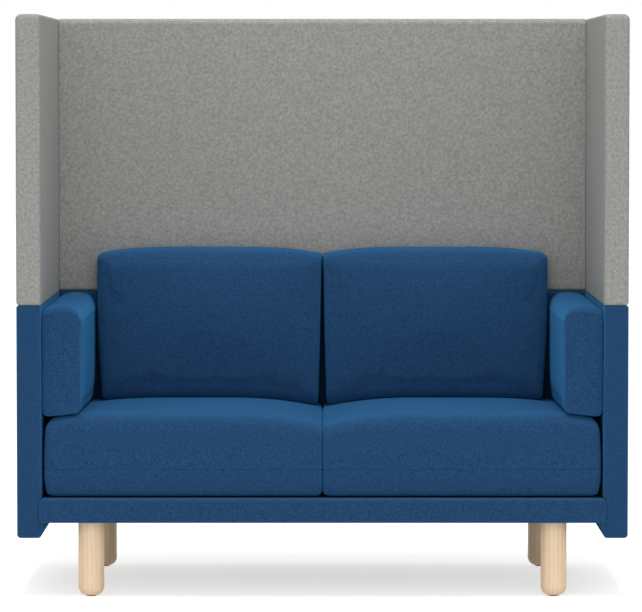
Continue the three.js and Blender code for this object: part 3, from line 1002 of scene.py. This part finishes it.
def back_form():
    low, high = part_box("right_back_cushion")
    low.x += back_split_setback
    low.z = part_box("right_seat_cushion")[1].z - seat_crown + fit_gap
    foot_depth = high.y - low.y - back_foot_setback
    top = high.z - back_crown

    def radius(middle, direction):
        if middle.z < low.z + same_place:
            return back_edges["foot" if runs_along(direction, "x") else "foot_end"]
        ahead = middle.y < (low.y + high.y) / 2
        if runs_along(direction, "x"):
            return back_edges["top_front" if ahead else "top_rear"]
        beside = "split" if middle.x < low.x + same_place else "outer"
        if runs_along(direction, "z") and ahead:
            beside += "_front"
        return back_edges[beside]

    base_low = Vector((low.x, high.y - foot_depth, low.z))
    piece = foam_block("right_back", base_low, Vector((high.x, high.y, top)), radius, back_voxel)

    def press(point):
        x, y, z = point
        lean = share(z, low.z, top)
        depth = foot_depth + (back_top_depth - foot_depth) * lean
        forward = (high.y - y) / foot_depth
        belly = back_belly * arch(x, low.x, high.x) * arch(z, low.z, top)
        outward = share(x, low.x, high.x)
        lower = rise(z, top, low.z)
        # Towards the rear the sides at the split bulge until the two cushions meet.
        bulge = (low.x + back_split_press) * rise(y, base_low.y, high.y)
        point.x -= back_outer_draw * outward * lower
        point.x += (1 - outward) * (back_split_draw * lower - bulge)
        point.y = high.y - forward * (depth + belly)
        crown = back_crown * crest(x, low.x, high.x) * arch(y, base_low.y, high.y)
        sag = seat_settle + seat_sink(point.x, back_front)
        point.z += crown * rise(z, low.z, top) - sag * rise(z, low.z + back_sag_height, low.z)
        return point

    reshape(piece, press)

    def freedom(point):
        x, y, z = point
        above = ease(z, low.z, low.z + back_free["foot"])
        beside = ease(x, low.x, low.x + back_free["split"])
        ahead = ease(y, high.y - back_held["rear"], high.y - back_free["rear"])
        return above * beside * ahead

    inflate(piece, back_puff, freedom)
    apply_modifier(piece, "SUBSURF", levels=1, render_levels=1)
    # The split's middle is a wall, and the foot reaches down to where the seat has sunk.
    low.x = 0
    low.z -= seat_settle + seat_centre_dip
    hold_inside(piece, low, high)
    return piece


def arm_form():
    low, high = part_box("right_arm_cushion")
    low.x -= arm_fullness
    seat_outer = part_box("right_seat_cushion")[1].x
    foot = low.z + seat_outer_drop
    top = high.z - arm_crown
    width = high.x - low.x

    def radius(middle, direction):
        level = "top" if middle.z > (low.z + high.z) / 2 else "foot"
        beside = "inner" if middle.x < (low.x + high.x) / 2 else "outer"
        if runs_along(direction, "x"):
            return arm_edges[f"end_{level}"]
        if runs_along(direction, "z"):
            return arm_edges[f"end_{beside}"]
        return arm_edges[f"{beside}_{level}"]

    base_low = Vector((low.x, low.y - arm_front_cut, foot))
    piece = foam_block("right_arm", base_low, Vector((high.x, high.y, top)), radius, arm_voxel)

    def press(point):
        x, y, z = point
        inward = (high.x - x) / width
        fullness = arm_belly * arch(y, low.y, high.y) * arch(z, foot, top)
        draw = arm_rear_draw * share(y, low.y, high.y) * rise(z, top, foot)
        point.x += inward * (draw + arm_belly - fullness)
        upper = rise(z, foot, top)
        outward = share(point.x, low.x, seat_outer)
        shoulder = shoulder_drop(y)
        drop = shoulder + (arm_outer_drop - shoulder) * outward
        point.z += arm_crown * arch(x, low.x, high.x) * upper - (drop + seat_settle) * (1 - upper)
        return point

    reshape(piece, press)

    def freedom(point):
        above = ease(point.z, foot, foot + arm_free["foot"])
        inward = ease(point.x, high.x - arm_held["panel"], high.x - arm_free["panel"])
        return above * inward

    inflate(piece, arm_puff, freedom)
    # The foot may reach down to where the seat has sunk beside the arm.
    low.z -= seat_settle + seat_rear_shoulder - seat_outer_drop
    hold_inside(piece, low, high)
    sew(piece, Vector((0, low.y + arm_seam_setback, 0)), Vector((0, 1, 0)))
    return piece


def mirrored(piece, name):
    copy = piece.copy()
    copy.data = piece.data.copy()
    copy.name = name
    bpy.context.scene.collection.objects.link(copy)
    copy.data.transform(((-1, 0, 0, 0), (0, 1, 0, 0), (0, 0, 1, 0), (0, 0, 0, 1)))
    copy.data.flip_normals()
    return copy


for kind, form in (("seat", seat_form), ("back", back_form), ("arm", arm_form)):
    right = form()
    left = mirrored(right, f"left_{kind}")
    for side, piece in (("right", right), ("left", left)):
        pick_only(piece)
        bpy.ops.object.shade_smooth()
        node = f"{side}_{kind}_cushion"
        dress(piece, "blue_wool", f"{node}_body", node)


# Floor, light and background
def ray_is_seen(tree):
    """1 for the rays that show a picture: the camera's own, mirrored and refracted ones."""
    rays = add_node(tree, "ShaderNodeLightPath")
    seen = add_node(
        tree,
        "ShaderNodeMath",
        operation="MAXIMUM",
        links={0: rays.outputs["Is Camera Ray"], 1: rays.outputs["Is Glossy Ray"]},
    )
    return add_node(
        tree,
        "ShaderNodeMath",
        operation="MAXIMUM",
        links={0: seen.outputs[0], 1: rays.outputs["Is Transmission Ray"]},
    ).outputs[0]


def add_floor():
    bpy.ops.object.select_all(action="DESELECT")
    bpy.ops.mesh.primitive_plane_add(size=floor_size)
    floor = bpy.context.active_object
    floor.name = "floor"
    # Matt white studio floor. To the camera it glows a little, so that it clips to white where it
    # is lit and keeps the soft shadow under the sofa.
    material, tree = new_tree("matt_white_floor")
    matt = add_node(tree, "ShaderNodeBsdfDiffuse", inputs={"Color": linear("#f3f3f3")})
    glow = add_node(tree, "ShaderNodeEmission", inputs={"Strength": 0.6})
    shown = add_node(tree, "ShaderNodeAddShader", links={0: matt.outputs[0], 1: glow.outputs[0]})
    surface = add_node(
        tree,
        "ShaderNodeMixShader",
        links={0: ray_is_seen(tree), 1: matt.outputs[0], 2: shown.outputs[0]},
    )
    add_node(tree, "ShaderNodeOutputMaterial", links={"Surface": surface.outputs[0]})
    floor.data.materials.append(material)


def add_world(ambient):
    world = bpy.data.worlds.new("studio")
    bpy.context.scene.world = world
    world.use_nodes = True
    tree = world.node_tree
    tree.nodes.clear()
    strength = add_node(
        tree,
        "ShaderNodeMapRange",
        inputs={"To Min": ambient, "To Max": 1},
        links={"Value": ray_is_seen(tree)},
    )
    sky = add_node(
        tree,
        "ShaderNodeBackground",
        inputs={"Color": (1, 1, 1, 1)},
        links={"Strength": strength.outputs[0]},
    )
    add_node(tree, "ShaderNodeOutputWorld", links={"Surface": sky.outputs[0]})


def add_softbox(name, place, target, width, length, watts):
    """A rectangular lamp that faces its target and that the camera doesn't see."""
    lamp = bpy.data.lights.new(name, "AREA")
    lamp.shape = "RECTANGLE"
    lamp.size = width
    lamp.size_y = length
    lamp.energy = watts
    softbox = bpy.data.objects.new(name, lamp)
    bpy.context.scene.collection.objects.link(softbox)
    softbox.location = place
    aim = Vector(target) - Vector(place)
    softbox.rotation_euler = aim.to_track_quat("-Z", "Y").to_euler()
    softbox.visible_camera = False


add_floor()
add_world(ambient=0.56)
add_softbox(
    "overhead", place=(0, -1.0, 6.0), target=(0, 0, 0.5), width=2.4, length=1.8, watts=165
)
add_softbox("front", place=(0, -6.0, 3.5), target=(0, 0, 0.8), width=4, length=2.4, watts=40)
add_softbox("low_front", place=(0, -7.0, 0.7), target=(0, 0, 0.5), width=4, length=0.8, watts=50)
bpy.context.scene.view_settings.view_transform = "Standard"
